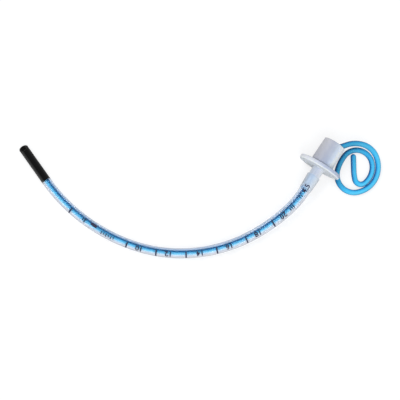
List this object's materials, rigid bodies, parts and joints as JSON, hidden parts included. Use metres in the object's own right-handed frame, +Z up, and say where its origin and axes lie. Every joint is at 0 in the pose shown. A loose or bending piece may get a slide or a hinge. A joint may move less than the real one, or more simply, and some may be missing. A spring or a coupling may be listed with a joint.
{
  "type": "endotracheal tube",
  "caption": "Small curved uncuffed airway tube with a black bevelled tip, a flanged tapered connector and a sleeved malleable stylet coiled outside its mouth.",
  "frame": {"origin": "middle of the bounding box's underside, on the table that the tube lies on", "axes": "+Y along the connector's axis towards its open mouth, within its 3 degree slope; +X square to it, away from the side the tube curves to; +Z up from the table"},
  "size_m": [0.2102, 0.1478, 0.019],
  "materials": {
    "clear_tube": "clear soft vinyl with dark printed depth ticks",
    "black_tube": "opaque black soft vinyl, glossy",
    "connector_white": "semi-opaque cool white moulding, satin gloss",
    "blue_sleeve": "translucent blue sleeve, smooth",
    "wire": "bare soft drawn wire"
  },
  "bodies": {
    "root": {"tube_shaft": "clear_tube", "black_tip": "black_tube", "connector": "connector_white", "stylet_sheath": "blue_sleeve", "stylet_core": "wire"}
  },
  "joints": []
}
